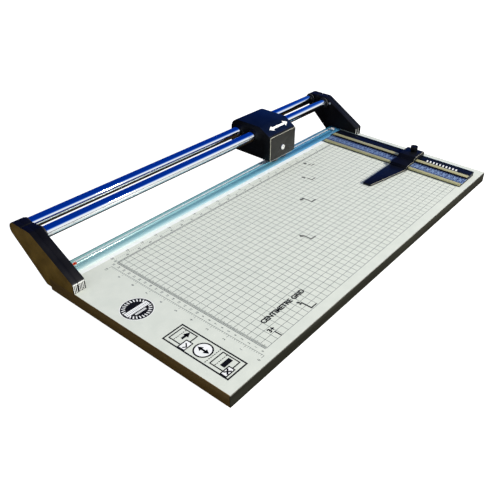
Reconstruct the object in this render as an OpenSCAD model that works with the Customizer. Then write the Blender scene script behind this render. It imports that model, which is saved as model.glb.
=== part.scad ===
// Rotary paper trimmer: a laminated board between two end frames, two round
// rails, a sliding cutting head with a round blade, a sprung clear clamp strip
// and a raised side guide with a sliding stop.
// X runs along the cut towards the side guide, Y towards the rails, Z up.
// The origin lies on the table, under the middle of the whole machine.

/* [Board] */
// Length of the board, along the cut
board_l = 661; // [560:1:760]
// Depth of the board, from its front edge to the blade carrier
board_d = 302; // [280:1:306]
// Thickness of the board with its laminates
board_t = 17; // [15:0.5:20]
// Thickness of the laminate on each face
laminate_t = 0.8; // [0.5:0.1:1.5]
// Thickness of the edge banding
band_t = 1; // [0.5:0.5:2]
// Height of the rubber feet
foot_h = 5; // [3:0.5:10]
// Radius of the rubber feet
foot_r = 11; // [8:0.5:14]

/* [Fixed blade] */
// Thickness of the bar that carries the fixed blade
carrier_t = 5; // [4:0.5:6]
// Thickness of the fixed blade
blade_t = 3; // [2:0.5:3]
// Height of the fixed blade
blade_h = 14; // [12:0.5:15]
// Number of screws along the blade
blade_screw_n = 7; // [5:1:9]

/* [End frames and rails] */
// Width of an end frame with its cover
frame_t = 18; // [17:0.5:20]
// Width of the outer cover alone
cover_t = 8; // [6:0.5:8]
// Height of the frame's nose above the board
nose_h = 14.5; // [12:0.5:16]
// Radius of a rail
rail_r = 8; // [7.5:0.1:8.2]
// Height of the rails above the board
rail_h = 47; // [46:0.5:50]
// Distance between the two rails
rail_pitch = 32; // [30:0.5:33]
// Thickness of the rubber buffers on the rails
buffer_t = 3; // [2:0.5:6]

/* [Cutting head] */
// Width of the head along the rails
head_w = 69; // [67:1:76]
// Distance from the machine's middle to the head's middle
head_x = 127; // [-250:1:250]
// Height of the head's underside above the board
head_lift = 13; // [12.5:0.5:13.5]
// Height of the head's top above the board
head_top = 69; // [68:0.5:72]
// Thickness of the front plate
plate_t = 3; // [2:0.5:3]
// Radius of the round blade
wheel_r = 30; // [28:0.5:30.5]
// Thickness of the round blade
wheel_t = 2; // [1:0.5:2]
// Depth of the round blade's edge below the board's face
wheel_overlap = 0.8; // [0.5:0.1:1.5]
// Radius of the two pressure rollers
roller_r = 7; // [6.5:0.1:7.2]

/* [Clamp strip] */
// Width of the clear strip
strip_w = 24.5; // [20:0.5:26]
// Gap between the board and the raised strip
strip_gap = 2.2; // [2.1:0.1:2.4]
// Distance between the two guide pins of the strip
pin_span = 594; // [560:1:596]

/* [Side guide and stop] */
// Distance from the machine's middle to the guide's front edge
guide_x = 249.5; // [230:0.5:253]
// Length of the side guide
guide_l = 271; // [250:1:272]
// Place of the stop's cutting-side edge
stop_y = -48.5; // [-135:0.5:80]
// Length of the stop's arm
arm_l = 97.5; // [60:0.5:140]
// Radius of the knurled thumb screw
thumb_r = 6.2; // [5:0.1:7]

/* [Hidden] */

$fn = 64;
fit = 0.05;            // clearance of a shaft in its hole
gap = 0.3;             // clearance between faces that move past each other
eps = 0.5;             // how far a cutter reaches past the face it cuts

overall_d = 374;
front_y = -overall_d / 2;
back_y = overall_d / 2;
core_back = front_y + board_d;
cut_y = core_back + carrier_t + blade_t;
bed_z = foot_h + board_t;
half_l = board_l / 2;
frame_in = half_l - frame_t;
casting_t = frame_t - cover_t;

// End frame outline
rail_y = [cut_y + 19.5, cut_y + 19.5 + rail_pitch];
rail_z = bed_z + rail_h;
lobe_r = rail_r + 2.5;
buffer_r = rail_r + 1.8;
nose_top = [66, bed_z + nose_h];
heel = [core_back + 11, foot_h + 8];
hook_z = foot_h + 4.5;
heel_r = 3.5;
groove_w = 1.5;

// Frame screws and dowels
frame_screw_y = [82, 104];
frame_screw_x = frame_in + casting_t / 2;
frame_screw_r = 2.5;
frame_screw_top = bed_z + 13;
dowel_spots = [[95, bed_z + 10], [150, bed_z + 28]];
dowel_r = 2;
dowel_depth = 5;
cover_screw_spot = [129.5, bed_z + 48];
cover_screw_r = 1.25;
cover_screw_head = [2.2, 1.6];    // radius and height

// Strip, its pins and springs
strip_back = cut_y - 0.5;
strip_front = strip_back - strip_w;
strip_z = bed_z + strip_gap;
strip_t = 2.2;
rib_h = 0.6;
pin_x = pin_span / 2;
pin_y = 109;
pin_r = 2;
pin_head_r = 4;
washer_t = 0.8;
pocket_r = 4.2;
pocket_z = bed_z - 10;

// Cutting head
head_z0 = bed_z + head_lift;
head_z1 = bed_z + head_top;
head_front = core_back - 15;
head_brow = bed_z + 55.3;
head_crown_y = head_front + 24.5;
head_round = 16;
head_wall = 3;
pocket_back = rail_y[0] - 12;
axle_z = bed_z + wheel_r - wheel_overlap;
axle_r = 3;
wheel_y = cut_y + 0.25;
wheel_bush_r = 5;
hub_l = 4.25;
boss_l = 9.5;
roller_z = strip_z + strip_t + rib_h + gap + roller_r;
roller_x = 12;
roller_pin_r = 1.5;
bracket_y = [head_front + plate_t, head_front + plate_t + 15];
bracket_t = 1.5;
bush_r = rail_r + 2;
bush_l = 14;
bush_sink = 1.5;

// Side guide
guide_y1 = 95;
guide_y0 = guide_y1 - guide_l;
front_strip_w = 5.8;
front_strip_t = 2.8;
rear_strip_w = 8.9;
step_x = guide_x + 27;
guide_back = guide_x + 55.8;
rim_w = 1.2;
low_z = bed_z + 4;
high_z = bed_z + 7;
channel_z = bed_z + 6.5;
rim_z = bed_z + 7.5;
inlay_t = 0.8;
bar_z = low_z + 0.2;
guide_screw_y = [-150, -40, 70];
guide_screw_x = guide_x + 16;

// Stop
stop_w = 32;
arm_t = 3.2;
arm_tip_w = 15.5;
thumb_x = guide_x + 47;
thumb_y = stop_y - stop_w / 2 - 0.5;
stop_top = bed_z + 14.5;

foot_x = 300;
foot_y = [-160, 88];

// ---- shapes used again and again ----

// Points of an arc round [y, z]
function arc(c, r, a0, a1, n = 18) =
    [for (i = [0 : n]) c + r * [cos(a0 + (a1 - a0) * i / n), sin(a0 + (a1 - a0) * i / n)]];

// Direction of the line from p that touches the circle c, r on its upper (+1) or lower (-1) side
function touching(p, c, r, side) =
    atan2(c[1] - p[1], c[0] - p[0]) + side * asin(r / norm(c - p));

// A [y, z] outline drawn out along X
module along_x(x0, x1) {
    translate([x0, 0, 0]) rotate([90, 0, 90]) linear_extrude(x1 - x0) children();
}

// An [x, z] outline drawn out along Y
module along_y(y0, y1) {
    translate([0, y1, 0]) rotate([90, 0, 0]) linear_extrude(y1 - y0) children();
}

module block(x, y, z) {
    translate([x[0], y[0], z[0]]) cube([x[1] - x[0], y[1] - y[0], z[1] - z[0]]);
}

module rod_x(x0, x1, y, z, r) {
    translate([x0, y, z]) rotate([0, 90, 0]) cylinder(h = x1 - x0, r = r);
}

module rod_y(y0, y1, x, z, r) {
    translate([x, y0, z]) rotate([-90, 0, 0]) cylinder(h = y1 - y0, r = r);
}

module rod_z(z0, z1, x, y, r) {
    translate([x, y, z0]) cylinder(h = z1 - z0, r = r);
}

// A ring drawn round the Y axis through [x, z]
module ring_y(y0, y1, x, z, r_out, r_in) {
    difference() {
        rod_y(y0, y1, x, z, r_out);
        rod_y(y0 - eps, y1 + eps, x, z, r_in);
    }
}

// A round wire wound into a spring along Z, from z = 0 to z = length
module spring(length, mean_r, wire_r, turns, steps = 14, sides = 6) {
    last = turns * steps;
    rise = length - 2 * wire_r;
    points = [
        for (i = [0 : last])
            let (a = 360 * i / steps, z = wire_r + rise * i / last)
            for (k = [0 : sides - 1])
                let (b = 360 * k / sides, r = mean_r + wire_r * cos(b))
                [r * cos(a), r * sin(a), z + wire_r * sin(b)]
    ];
    walls = [
        for (i = [0 : last - 1], k = [0 : sides - 1])
            let (m = (k + 1) % sides, p = i * sides)
            [p + k, p + sides + k, p + sides + m, p + m]
    ];
    polyhedron(
        points = points,
        faces = concat(
            walls,
            [[for (k = [0 : sides - 1]) k]],
            [[for (k = [sides - 1 : -1 : 0]) last * sides + k]]
        )
    );
}

// A countersunk screw pointing up from z, with a cross slot in its head
module screw_up(x, y, z, r, length) {
    head_h = r * 0.9;
    difference() {
        union() {
            translate([x, y, z]) cylinder(h = head_h, r1 = r * 1.9, r2 = r);
            rod_z(z + head_h - 0.01, z + length, x, y, r);
        }
        block([x - r * 1.2, x + r * 1.2], [y - 0.4, y + 0.4], [z - eps, z + head_h * 0.6]);
        block([x - 0.4, x + 0.4], [y - r * 1.2, y + r * 1.2], [z - eps, z + head_h * 0.6]);
    }
}

// The hole that such a screw fills
module screw_up_hole(x, y, z, r, length) {
    head_h = r * 0.9;
    translate([x, y, z]) cylinder(h = head_h, r1 = r * 1.9 + fit, r2 = r + fit);
    rod_z(z - eps, z + 0.01, x, y, r * 1.9 + fit);
    rod_z(z + head_h - 0.01, z + length + fit, x, y, r + fit);
}

// ---- board ----

module screw_holes() {
    for (side = [-1, 1], y = frame_screw_y)
        screw_up_hole(side * frame_screw_x, y, foot_h, frame_screw_r, 40);
    for (y = guide_screw_y)
        screw_up_hole(guide_screw_x, y, foot_h, frame_screw_r, 40);
    for (side = [-1, 1], y = foot_y)
        rod_z(foot_h - eps, foot_h + 9, side * foot_x, y, 1.75 + fit);
}

module pin_holes() {
    for (side = [-1, 1]) {
        rod_z(pocket_z, bed_z + eps, side * pin_x, pin_y, pocket_r);
        rod_z(foot_h + 2, pocket_z + 0.01, side * pin_x, pin_y, pin_r + fit);
    }
}

module board_slab(z0, z1) {
    difference() {
        block([-half_l + band_t, half_l - band_t], [front_y + band_t, core_back], [z0, z1]);
        screw_holes();
        pin_holes();
    }
}

module board_core() {
    color("#8a6a45") board_slab(foot_h + laminate_t, bed_z - laminate_t);
}

module top_laminate() {
    color("#dde3db") board_slab(bed_z - laminate_t, bed_z);
}

module bottom_laminate() {
    color("#b9b9b2") board_slab(foot_h, foot_h + laminate_t);
}

module front_edge_band() {
    color("#3a3b30")
        block([-half_l, half_l], [front_y, front_y + band_t], [foot_h, bed_z]);
}

module side_edge_band(side) {
    x = side * (half_l - band_t / 2);
    color("#4a3518")
        block([x - band_t / 2, x + band_t / 2], [front_y + band_t, core_back], [foot_h, bed_z]);
}

module foot(side, y) {
    color("#1c1c1c") difference() {
        rod_z(0, foot_h, side * foot_x, y, foot_r);
        rod_z(foot_h - 2, foot_h + eps, side * foot_x, y, 1.75 + fit);
        rod_z(-eps, foot_h - 2, side * foot_x, y, 4);
    }
}

module foot_screws() {
    color("silver") for (side = [-1, 1], y = foot_y) {
        rod_z(foot_h - 4, foot_h - 2, side * foot_x, y, 3.5);
        rod_z(foot_h - 2.01, foot_h + 8, side * foot_x, y, 1.75);
    }
}

// ---- fixed blade ----

blade_screw_z = bed_z - blade_h / 2 - 2;
blade_screw_step = 2 * (frame_in - 30) / (blade_screw_n - 1);
blade_screw_xs = [for (i = [0 : blade_screw_n - 1]) -frame_in + 30 + i * blade_screw_step];

module blade_screw_bores(extra) {
    for (x = blade_screw_xs) {
        rod_y(core_back - eps, cut_y + eps, x, blade_screw_z, 2 + extra);
        rod_y(cut_y - 1.6 - extra, cut_y + eps, x, blade_screw_z, 3.6 + extra);
    }
}

module blade_carrier() {
    color("#9a9da0") difference() {
        block([-frame_in, frame_in], [core_back, core_back + carrier_t], [foot_h + 1, bed_z - 0.5]);
        blade_screw_bores(fit);
    }
}

module fixed_blade() {
    color("#c8ccd0") difference() {
        block([-frame_in, frame_in], [cut_y - blade_t, cut_y], [bed_z - blade_h, bed_z]);
        blade_screw_bores(fit);
    }
}

module blade_screws() {
    color("#b0b4b8") difference() {
        intersection() {
            blade_screw_bores(0);
            block([-frame_in, frame_in], [core_back, cut_y - 0.2], [foot_h, bed_z]);
        }
        for (x = blade_screw_xs)
            block([x - 3, x + 3], [cut_y - 0.9, cut_y], [blade_screw_z - 0.4, blade_screw_z + 0.4]);
    }
}

// ---- end frames ----

slope_a = touching(nose_top, [rail_y[0], rail_z], lobe_r, 1);
back_a = touching(heel, [rail_y[1], rail_z], lobe_r, -1);
groove_y = (rail_y[0] + rail_y[1]) / 2;
frame_outline = concat(
    [[nose_top[0], bed_z], [core_back, bed_z], [core_back, hook_z]],
    arc([heel[0] - heel_r, hook_z + heel_r], heel_r, -90, back_a - 90, 6),
    arc([rail_y[1], rail_z], lobe_r, back_a - 90, 90, 22),
    [[groove_y + groove_w, rail_z + lobe_r], [groove_y, rail_z + lobe_r - groove_w]],
    [[groove_y - groove_w, rail_z + lobe_r]],
    arc([rail_y[0], rail_z], lobe_r, 90, slope_a + 90, 8),
    [nose_top + [1, 1 * tan(slope_a)], nose_top - [0, 0.8]]
);

// A screw through a casting into its cover, its head flush in the casting's inner face
module cover_screw_shapes(side, extra) {
    head_from = extra > 0 ? -eps : 0.2;
    head_to = cover_screw_head[1] + extra;
    for (span = [
        [head_from, head_to, cover_screw_head[0]],
        [head_to - 0.01, casting_t + dowel_depth + extra, cover_screw_r]
    ]) {
        reach = side * [frame_in + span[0], frame_in + span[1]];
        rod_x(min(reach), max(reach), cover_screw_spot[0], cover_screw_spot[1], span[2] + extra);
    }
}

// Blind dowel bores from the joint, outwards with a positive depth, inwards with a negative one
module dowel_bores(side, depth) {
    joint_x = half_l - cover_t;
    reach = side * [joint_x - sign(depth) * eps, joint_x + depth];
    for (p = dowel_spots) rod_x(min(reach), max(reach), p[0], p[1], dowel_r + fit);
}

module frame_casting(side) {
    x = side > 0 ? [frame_in, frame_in + casting_t] : [-frame_in - casting_t, -frame_in];
    color("#16171b") difference() {
        along_x(x[0], x[1]) polygon(frame_outline);
        for (y = rail_y) rod_x(x[0] - eps, x[1] + eps, y, rail_z, rail_r + fit);
        for (y = frame_screw_y)
            rod_z(bed_z - eps, frame_screw_top + fit, side * frame_screw_x, y, frame_screw_r + fit);
        dowel_bores(side, -dowel_depth);
        cover_screw_shapes(side, fit);
    }
}

module frame_cover(side) {
    x = side > 0 ? [half_l - cover_t, half_l] : [-half_l, -half_l + cover_t];
    color("#3a2c1a") difference() {
        along_x(x[0], x[1]) polygon(frame_outline);
        dowel_bores(side, dowel_depth);
        cover_screw_shapes(side, fit);
    }
}

module cover_dowels() {
    joint_x = half_l - cover_t;
    color("silver") for (x = [-joint_x, joint_x], p = dowel_spots)
        rod_x(x - dowel_depth + 0.2, x + dowel_depth - 0.2, p[0], p[1], dowel_r);
}

module frame_screws() {
    color("silver") for (side = [-1, 1], y = frame_screw_y)
        screw_up(side * frame_screw_x, y, foot_h, frame_screw_r, frame_screw_top - foot_h);
}

module cover_screws() {
    color("#e8e8e8") for (side = [-1, 1]) difference() {
        cover_screw_shapes(side, 0);
        block(
            [side * frame_in - 0.7, side * frame_in + 0.7],
            [cover_screw_spot[0] - 2.3, cover_screw_spot[0] + 2.3],
            [cover_screw_spot[1] - 0.3, cover_screw_spot[1] + 0.3]
        );
    }
}

module rail(y) {
    color("#c9d4e6") rod_x(-frame_in - casting_t, frame_in + casting_t, y, rail_z, rail_r);
}

module buffer(side, y) {
    x = side > 0 ? frame_in - buffer_t : -frame_in;
    color("#1a1a1a") difference() {
        rod_x(x, x + buffer_t, y, rail_z, buffer_r);
        rod_x(x - eps, x + buffer_t + eps, y, rail_z, rail_r + fit);
    }
}

// ---- clamp strip ----

strip_outline = [
    [strip_front, strip_z],
    [strip_back, strip_z],
    [strip_back, strip_z + strip_t + rib_h],
    [strip_back - 2.5, strip_z + strip_t + rib_h],
    [strip_back - 3, strip_z + strip_t],
    [strip_back - 8.5, strip_z + strip_t],
    [strip_back - 9, strip_z + strip_t + rib_h],
    [strip_back - 11.5, strip_z + strip_t + rib_h],
    [strip_back - 12, strip_z + strip_t],
    [strip_front + 3, strip_z + strip_t],
    [strip_front, strip_z + 0.8]
];

module clamp_strip() {
    color("#5f9fae", 0.6) difference() {
        along_x(-frame_in + gap, frame_in - gap) polygon(strip_outline);
        for (side = [-1, 1])
            rod_z(strip_z - eps, strip_z + 5, side * pin_x, pin_y, pin_r + gap);
    }
}

pin_head_z = strip_z + strip_t + rib_h + gap + washer_t;

module strip_pin(side) {
    color(side < 0 ? "#c8401a" : "#dfe6e4") difference() {
        union() {
            rod_z(foot_h + 2, pin_head_z + 0.01, side * pin_x, pin_y, pin_r);
            rod_z(pin_head_z, pin_head_z + 2, side * pin_x, pin_y, pin_head_r);
        }
        translate([side * pin_x, pin_y, pin_head_z + 0.8]) cylinder(h = 2, r = 1.7, $fn = 6);
    }
}

module strip_washers() {
    color("#b0b4b8") for (side = [-1, 1]) difference() {
        rod_z(pin_head_z - washer_t, pin_head_z, side * pin_x, pin_y, pin_head_r + 0.2);
        rod_z(pin_head_z - 2, pin_head_z + eps, side * pin_x, pin_y, pin_r + fit);
    }
}

module strip_spring(side) {
    color("silver") translate([side * pin_x, pin_y, pocket_z])
        spring(strip_z - pocket_z, 3.1, 0.4, 5);
}

// ---- side guide ----

module guide_screw_bores(extra) {
    for (y = guide_screw_y)
        rod_z(bed_z - eps, bed_z + 2.5 + extra, guide_screw_x, y, frame_screw_r + extra);
}

module guide_base() {
    seat_x = guide_x + front_strip_w;
    channel_x = step_x + rear_strip_w;
    color("#8fa3a0") difference() {
        along_y(guide_y0, guide_y1) polygon([
            [guide_x, bed_z], [guide_back, bed_z], [guide_back, rim_z], [guide_back - rim_w, rim_z],
            [guide_back - rim_w, channel_z - inlay_t], [channel_x, channel_z - inlay_t],
            [channel_x, high_z - inlay_t], [step_x, high_z - inlay_t], [step_x, low_z - inlay_t],
            [seat_x, low_z - inlay_t], [seat_x, bar_z - front_strip_t], [guide_x, bar_z - front_strip_t]
        ]);
        guide_screw_bores(fit);
    }
}

module guide_scale() {
    x = [guide_x + front_strip_w, step_x];
    color("#5f7396") block(x, [guide_y0, guide_y1], [low_z - inlay_t, low_z]);
}

module guide_front_strip() {
    x = [guide_x, guide_x + front_strip_w];
    color("#c9b46a") block(x, [guide_y0, guide_y1], [bar_z - front_strip_t, bar_z]);
}

module guide_rear_strip() {
    x = [step_x, step_x + rear_strip_w];
    color("#d9c878") block(x, [guide_y0, guide_y1], [high_z - inlay_t, high_z]);
}

module guide_channel() {
    x = [step_x + rear_strip_w, guide_back - rim_w];
    color("#15171f") block(x, [guide_y0, guide_y1], [channel_z - inlay_t, channel_z]);
}

module guide_screws() {
    color("silver") for (y = guide_screw_y)
        screw_up(guide_screw_x, y, foot_h, frame_screw_r, bed_z + 2.5 - foot_h);
}

// ---- stop ----

stop_outline = [
    [guide_x - 8, bed_z + gap], [guide_x - gap, bed_z + gap], [guide_x - gap, bar_z + gap],
    [step_x - gap, bar_z + gap], [step_x - gap, rim_z + gap], [guide_back + gap, rim_z + gap],
    [guide_back + gap, bed_z + 2], [guide_back + 3, bed_z + 2], [guide_back + 3, stop_top - 2],
    [guide_back + 1, stop_top], [step_x - 3, stop_top], [step_x - 9, bed_z + 8.5],
    [guide_x - 4, bed_z + 8], [guide_x - 8, bed_z + arm_t + gap]
];

module stop_block() {
    color("#1b1d24") difference() {
        along_y(stop_y - stop_w, stop_y) polygon(stop_outline);
        rod_z(bed_z, stop_top + eps, thumb_x, thumb_y, 4);
    }
}

module stop_arm() {
    root = guide_x - 8;
    tip = guide_x - arm_l;
    color("#1d2130") translate([0, 0, bed_z + gap]) linear_extrude(arm_t) polygon([
        [root, stop_y - stop_w], [root, stop_y], [tip + 1, stop_y], [tip, stop_y - 1],
        [tip, stop_y - arm_tip_w + 1], [tip + 1, stop_y - arm_tip_w]
    ]);
}

module clamp_insert() {
    color("#b08d4a") difference() {
        rod_z(rim_z + gap, stop_top, thumb_x, thumb_y, 4 - fit);
        rod_z(bed_z, stop_top + eps, thumb_x, thumb_y, 2.5 + fit);
    }
}

module thumb_screw() {
    knob_z = stop_top + gap;
    knob_h = 9;
    ribs = 24;
    color("#121318") difference() {
        union() {
            rod_z(channel_z + gap, knob_z + 0.01, thumb_x, thumb_y, 2.5);
            rod_z(knob_z, knob_z + 1.2, thumb_x, thumb_y, thumb_r - 1);
            rod_z(knob_z + 1.19, knob_z + knob_h, thumb_x, thumb_y, thumb_r);
        }
        for (i = [0 : ribs - 1])
            translate([thumb_x, thumb_y, knob_z]) rotate([0, 0, 360 * i / ribs])
                translate([thumb_r, 0, knob_h / 2]) rotate([0, 0, 45])
                    cube([0.7, 0.7, 2 * knob_h], center = true);
        rod_z(knob_z + knob_h - 0.8, knob_z + knob_h + eps, thumb_x, thumb_y, thumb_r - 1.8);
    }
}

// ---- cutting head ----

brow_slope = (head_z1 - head_brow) / (head_crown_y - head_front);
plate_back = head_front + plate_t;
head_outline = concat(
    [[plate_back, head_z0], [back_y - 1.5, head_z0], [back_y, head_z0 + 1.5]],
    arc([back_y - head_round, head_z1 - head_round], head_round, 0, 90, 16),
    [[head_crown_y + 1.2, head_z1], [head_crown_y - 1, head_z1 - 1 * brow_slope]],
    [[plate_back, head_brow + plate_t * brow_slope]]
);
wheel_room = [
    [plate_back - eps, head_z0 - eps], [pocket_back, head_z0 - eps], [pocket_back, head_z1 - 4],
    [head_crown_y - 0.5, head_z1 - 4], [plate_back - eps, head_brow - 2.5]
];
head_sides = [head_x - head_w / 2, head_x + head_w / 2];
room = [head_sides[0] + head_wall, head_sides[1] - head_wall];

module head_body() {
    color("#17181c") difference() {
        union() {
            difference() {
                along_x(head_sides[0], head_sides[1]) polygon(head_outline);
                along_x(room[0], room[1]) polygon(wheel_room);
                block(room, [pocket_back + head_wall, back_y - 4], [head_z0 - eps, rail_z - bush_r - 3]);
            }
            rod_y(pocket_back + 1, pocket_back + boss_l, head_x, axle_z, 6);
        }
        rod_y(pocket_back - eps, pocket_back + boss_l + eps, head_x, axle_z, axle_r + fit);
        for (y = rail_y) {
            rod_x(head_sides[0] - eps, head_sides[1] + eps, y, rail_z, rail_r + 1);
            for (x = head_sides) {
                rod_x(x - bush_l - bush_sink, x + bush_l + bush_sink, y, rail_z, bush_r);
                rod_x(x - bush_sink, x + bush_sink, y, rail_z, bush_r + 1.5);
            }
        }
    }
}

module front_plate() {
    color("#1d1e20") difference() {
        block(head_sides, [head_front, plate_back], [head_z0, head_brow]);
        rod_y(head_front - eps, plate_back + eps, head_x, axle_z, axle_r + fit);
        rod_y(head_front - eps, head_front + 1.5, head_x, axle_z, 4.8);
    }
}

module axle_bolt() {
    color("#e6e8ea") difference() {
        union() {
            rod_y(head_front - 0.8, head_front + 1.5, head_x, axle_z, 4.5);
            rod_y(head_front + 1.49, pocket_back + boss_l + 4.5, head_x, axle_z, axle_r);
        }
        translate([head_x, head_front - 1, axle_z]) rotate([-90, 0, 0])
            cylinder(h = 1.6, r = 2, $fn = 6);
    }
}

module axle_nut() {
    color("#b8bcc0") difference() {
        translate([head_x, pocket_back + boss_l, axle_z]) rotate([-90, 0, 0])
            cylinder(h = 3.5, r = 4.6, $fn = 6);
        rod_y(pocket_back, pocket_back + 20, head_x, axle_z, axle_r + fit);
    }
}

module wheel_spacer() {
    color("#a8acb0") ring_y(plate_back, wheel_y - hub_l - gap, head_x, axle_z, 5, axle_r + fit);
}

module preload_spring() {
    start = wheel_y + wheel_t + gap;
    color("silver") translate([head_x, start, axle_z]) rotate([-90, 0, 0])
        spring(pocket_back - start, 4.2, 0.45, 3);
}

module bush(side, y) {
    x = side > 0 ? head_sides[1] - bush_sink - bush_l : head_sides[0] + bush_sink;
    color("#1c1c1e") difference() {
        rod_x(x, x + bush_l, y, rail_z, bush_r - fit);
        rod_x(x - eps, x + bush_l + eps, y, rail_z, rail_r + fit);
    }
}

module roller_bracket() {
    z0 = roller_z - 2.3;
    z1 = axle_z - 6.7;
    color("#8f9398") difference() {
        union() {
            block(room, [bracket_y[0], bracket_y[0] + bracket_t], [z0, z1]);
            block(room, [bracket_y[1] - bracket_t, bracket_y[1]], [z0, z1]);
            block(room, bracket_y, [z1 - bracket_t, z1]);
        }
        for (side = [-1, 1])
            translate([head_x + side * roller_x, 0, roller_z])
                rod_y(bracket_y[0] - eps, bracket_y[1] + eps, 0, 0, roller_pin_r + fit);
    }
}

module roller_axles() {
    color("silver") for (side = [-1, 1])
        rod_y(bracket_y[0], bracket_y[1], head_x + side * roller_x, roller_z, roller_pin_r);
}

module roller(side) {
    y0 = bracket_y[0] + bracket_t + gap;
    y1 = bracket_y[1] - bracket_t - gap;
    color("#2a2a2c")
        ring_y(y0, y1, head_x + side * roller_x, roller_z, roller_r, roller_pin_r + fit);
}

// The round blade is flat on its cutting face and ground on its back
module cutting_wheel() {
    bore_r = wheel_bush_r + fit;
    color("#d5dade") translate([head_x, wheel_y, axle_z]) rotate([-90, 0, 0])
        rotate_extrude($fn = 128) polygon([
            [bore_r, 0], [wheel_r, 0], [wheel_r - 0.1, 0.2], [wheel_r - 3, wheel_t],
            [bore_r, wheel_t]
        ]);
}

module wheel_hub() {
    color("#b5975a") ring_y(wheel_y - hub_l, wheel_y, head_x, axle_z, 11, wheel_bush_r + fit);
}

module wheel_bush() {
    color("#a07c45")
        ring_y(wheel_y - hub_l, wheel_y + wheel_t, head_x, axle_z, wheel_bush_r, axle_r + fit);
}

// ---- the pieces ----

board_core();
top_laminate();
bottom_laminate();
front_edge_band();
side_edge_band(-1);  // left_edge_band
side_edge_band(1);  // right_edge_band
blade_carrier();
fixed_blade();
blade_screws();
frame_casting(-1);  // left_frame
frame_casting(1);  // right_frame
frame_cover(-1);  // left_cover
frame_cover(1);  // right_cover
cover_dowels();
frame_screws();
rail(rail_y[0]);  // front_rail
rail(rail_y[1]);  // rear_rail
cover_screws();
buffer(-1, rail_y[0]);  // left_front_buffer
buffer(-1, rail_y[1]);  // left_rear_buffer
buffer(1, rail_y[0]);  // right_front_buffer
buffer(1, rail_y[1]);  // right_rear_buffer
clamp_strip();
strip_pin(-1);  // left_strip_pin
strip_pin(1);  // right_strip_pin
strip_washers();
strip_spring(-1);  // left_strip_spring
strip_spring(1);  // right_strip_spring
guide_base();
guide_scale();
guide_front_strip();
guide_rear_strip();
guide_channel();
guide_screws();
foot(-1, foot_y[0]);  // left_front_foot
foot(1, foot_y[0]);  // right_front_foot
foot(-1, foot_y[1]);  // left_rear_foot
foot(1, foot_y[1]);  // right_rear_foot
foot_screws();
head_body();
front_plate();
axle_bolt();
axle_nut();
wheel_spacer();
preload_spring();
bush(-1, rail_y[0]);  // left_front_bush
bush(-1, rail_y[1]);  // left_rear_bush
bush(1, rail_y[0]);  // right_front_bush
bush(1, rail_y[1]);  // right_rear_bush
roller_bracket();
roller_axles();
cutting_wheel();
wheel_hub();
wheel_bush();
roller(-1);  // left_roller
roller(1);  // right_roller
stop_block();
stop_arm();
clamp_insert();
thumb_screw();
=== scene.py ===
from math import cos, degrees, pi, radians, sin

import bpy
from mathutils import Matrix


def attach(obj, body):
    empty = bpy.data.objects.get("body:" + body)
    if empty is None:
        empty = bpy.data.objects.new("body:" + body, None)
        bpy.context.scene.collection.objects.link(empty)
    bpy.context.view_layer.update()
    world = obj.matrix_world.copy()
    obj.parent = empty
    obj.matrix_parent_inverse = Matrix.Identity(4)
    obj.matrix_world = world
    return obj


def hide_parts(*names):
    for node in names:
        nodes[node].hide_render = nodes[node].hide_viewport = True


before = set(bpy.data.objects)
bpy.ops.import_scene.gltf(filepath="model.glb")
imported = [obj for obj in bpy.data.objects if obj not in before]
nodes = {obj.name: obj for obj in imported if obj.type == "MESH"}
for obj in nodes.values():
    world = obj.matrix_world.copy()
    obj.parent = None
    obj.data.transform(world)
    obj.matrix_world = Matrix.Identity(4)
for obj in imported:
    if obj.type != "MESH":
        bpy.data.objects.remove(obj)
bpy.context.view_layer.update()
mm = 0.001
print("frame loaded,", len(nodes), "parts")


# materials

def linear(hexText):
    # sRGB hex to linear colour with full alpha
    values = [int(hexText[i:i + 2], 16) / 255 for i in (1, 3, 5)]
    return [v / 12.92 if v <= 0.04045 else ((v + 0.055) / 1.055) ** 2.4 for v in values] + [1]


def add(tree, kind, settings=None, links=None):
    # one node, with its settings and what comes into it
    node = tree.nodes.new("ShaderNode" + kind)
    for key, value in (settings or {}).items():
        if key == "stops":
            while len(node.color_ramp.elements) < len(value):
                node.color_ramp.elements.new(1)
            for element, (place, colour) in zip(node.color_ramp.elements, value):
                element.position, element.color = place, colour
        elif isinstance(key, int) or key in node.inputs:
            node.inputs[key].default_value = value
        else:
            setattr(node, key, value)
    for key, (source, output) in (links or {}).items():
        tree.links.new(source.outputs[output], node.inputs[key])
    return node


def newFinish(name, **shader):
    # an empty material with its shader, output and object coordinates
    finish = bpy.data.materials.new(name)
    finish.use_nodes = True
    tree = finish.node_tree
    tree.nodes.clear()
    surface = add(tree, "BsdfPrincipled", shader)
    add(tree, "OutputMaterial", links={"Surface": (surface, "BSDF")})
    coords = add(tree, "TexCoord")
    return finish, tree, surface, coords


# noise detail and roughness, cloud size in grains, share of fine grain in the colour, where the
# darkest colour ends, and the spread of the cloud over the gloss
mottle = {"detail": 4, "roughness": 0.6, "cloud": 22, "cloudDetail": 3, "fine": 0.55,
          "darkest": 0.45, "glossFrom": 0.3, "glossTo": 0.7}


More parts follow.
